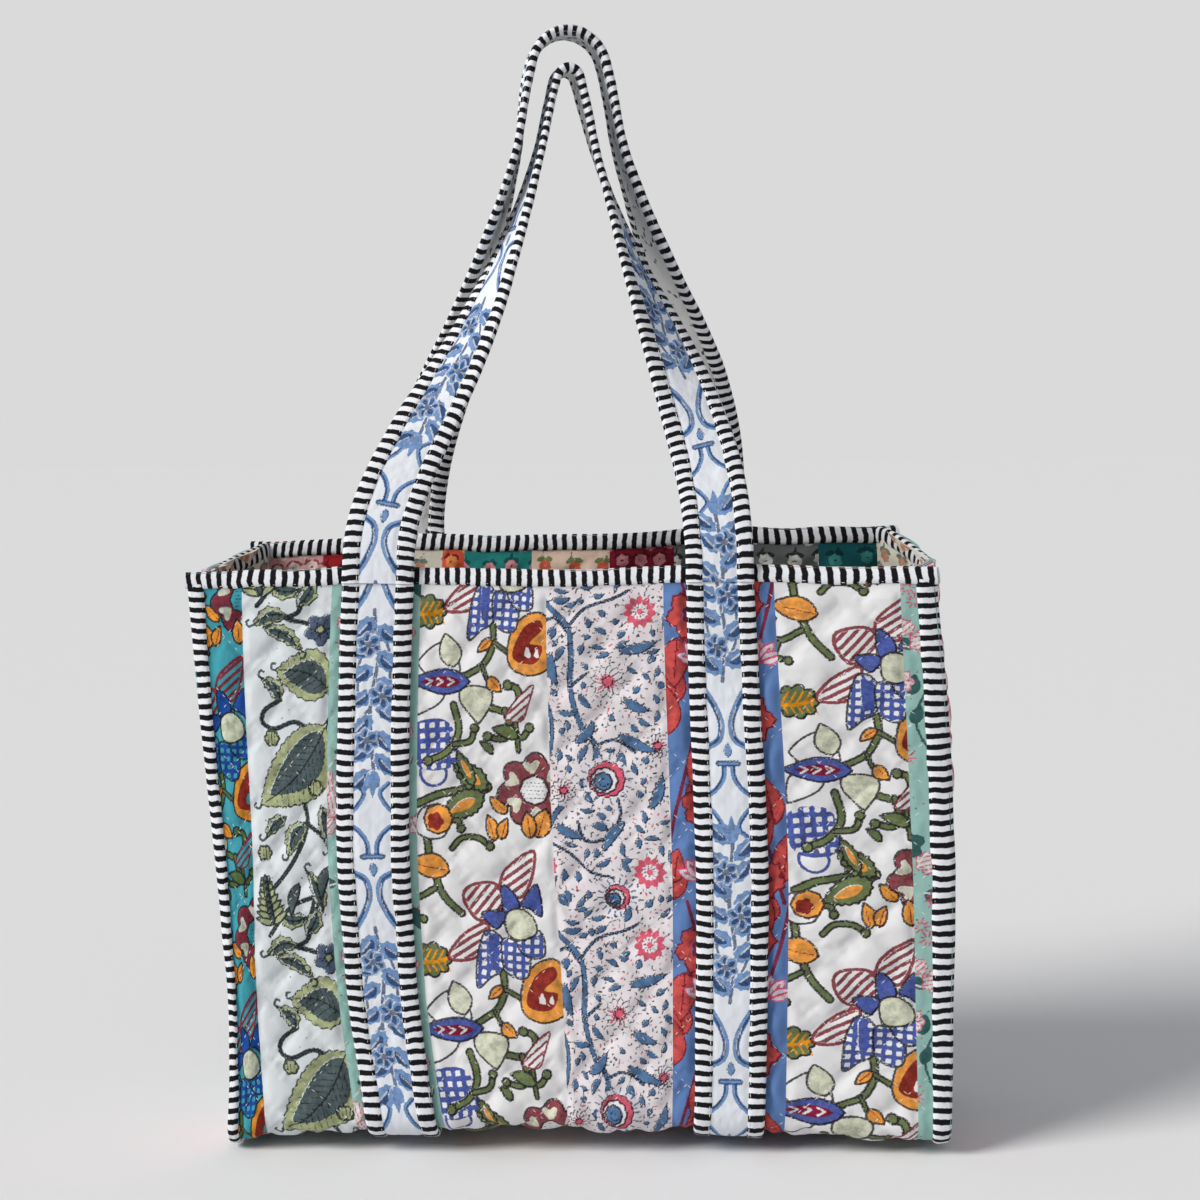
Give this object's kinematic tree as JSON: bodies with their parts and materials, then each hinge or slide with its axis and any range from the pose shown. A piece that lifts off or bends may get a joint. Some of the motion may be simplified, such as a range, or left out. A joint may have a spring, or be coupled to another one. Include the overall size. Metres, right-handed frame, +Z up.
{
  "type": "knitting bag",
  "caption": "Open-topped quilted patchwork cotton bag with side gussets, striped binding and long shoulder handles, for carrying knitting.",
  "frame": {"origin": "on the ground under the middle of the bag", "axes": "+Z up, +X to the right seen from the front, front at -Y"},
  "size_m": [0.46, 0.1651, 0.724],
  "materials": {
    "teal_floral_print": "woven cotton",
    "grey_leaf_print": "woven cotton",
    "mint_print": "woven cotton",
    "olive_vine_print": "woven cotton",
    "blue_vine_print": "woven cotton",
    "blue_floral_print": "woven cotton",
    "pink_sprig_print": "woven cotton",
    "blush_lining": "woven cotton",
    "red_lining": "woven cotton",
    "cream_lining": "woven cotton",
    "coral_lining": "woven cotton",
    "teal_lining": "woven cotton",
    "garden_lining": "woven cotton",
    "maroon_lining": "woven cotton",
    "grey_floral_lining": "woven cotton",
    "dark_teal_lining": "woven cotton",
    "striped_binding": "woven cotton",
    "strap_print": "woven cotton",
    "strap_backing": "woven cotton",
    "wadding": "bonded fibre",
    "stitching_thread": "woven cotton"
  },
  "bodies": {
    "bag": {"blue_floral_strip": "blue_floral_print", "blue_vine_strip": "blue_vine_print", "blush_lining": "blush_lining", "body_wadding": "wadding", "coral_lining": "coral_lining", "cream_lining": "cream_lining", "dark_teal_lining": "dark_teal_lining", "garden_lining": "garden_lining", "grey_floral_lining": "grey_floral_lining", "grey_leaf_strip": "grey_leaf_print", "left_edge_binding": "striped_binding", "left_gusset_front_strip": "pink_sprig_print", "left_gusset_lining": "cream_lining", "left_gusset_rear_strip": "mint_print", "left_gusset_wadding": "wadding", "left_mint_strip": "mint_print", "left_olive_vine_strip": "olive_vine_print", "left_strap_backing": "strap_backing", "left_strap_core": "wadding", "left_strap_face": "strap_print", "left_strap_inner_binding": "striped_binding", "left_strap_outer_binding": "striped_binding", "maroon_lining": "maroon_lining", "mouth_binding_front": "striped_binding", "mouth_binding_left": "striped_binding", "mouth_binding_rear": "striped_binding", "mouth_binding_right": "striped_binding", "red_lining": "red_lining", "right_edge_binding": "striped_binding", "right_gusset_front_strip": "pink_sprig_print", "right_gusset_lining": "cream_lining", "right_gusset_rear_strip": "mint_print", "right_gusset_wadding": "wadding", "right_mint_strip": "mint_print", "right_olive_vine_strip": "olive_vine_print", "right_strap_backing": "strap_backing", "right_strap_core": "wadding", "right_strap_face": "strap_print", "right_strap_inner_binding": "striped_binding", "right_strap_outer_binding": "striped_binding", "teal_floral_strip": "teal_floral_print", "teal_lining": "teal_lining"},
    "front_handle": {"front_handle_backing": "strap_backing", "front_handle_core": "wadding", "front_handle_face": "strap_print", "front_handle_inner_binding": "striped_binding", "front_handle_outer_binding": "striped_binding"},
    "rear_handle": {"rear_handle_backing": "strap_backing", "rear_handle_core": "wadding", "rear_handle_face": "strap_print", "rear_handle_inner_binding": "striped_binding", "rear_handle_outer_binding": "striped_binding"}
  },
  "joints": [
    {"name": "front_handle_swing", "type": "hinge", "parent": "bag", "child": "front_handle", "pos_m": [0, -0.0826, 0.355], "axis": [1, 0, 0], "range_deg": [0, 170]},
    {"name": "rear_handle_swing", "type": "hinge", "parent": "bag", "child": "rear_handle", "pos_m": [0, 0.0826, 0.355], "axis": [-1, 0, 0], "range_deg": [0, 170]}
  ]
}
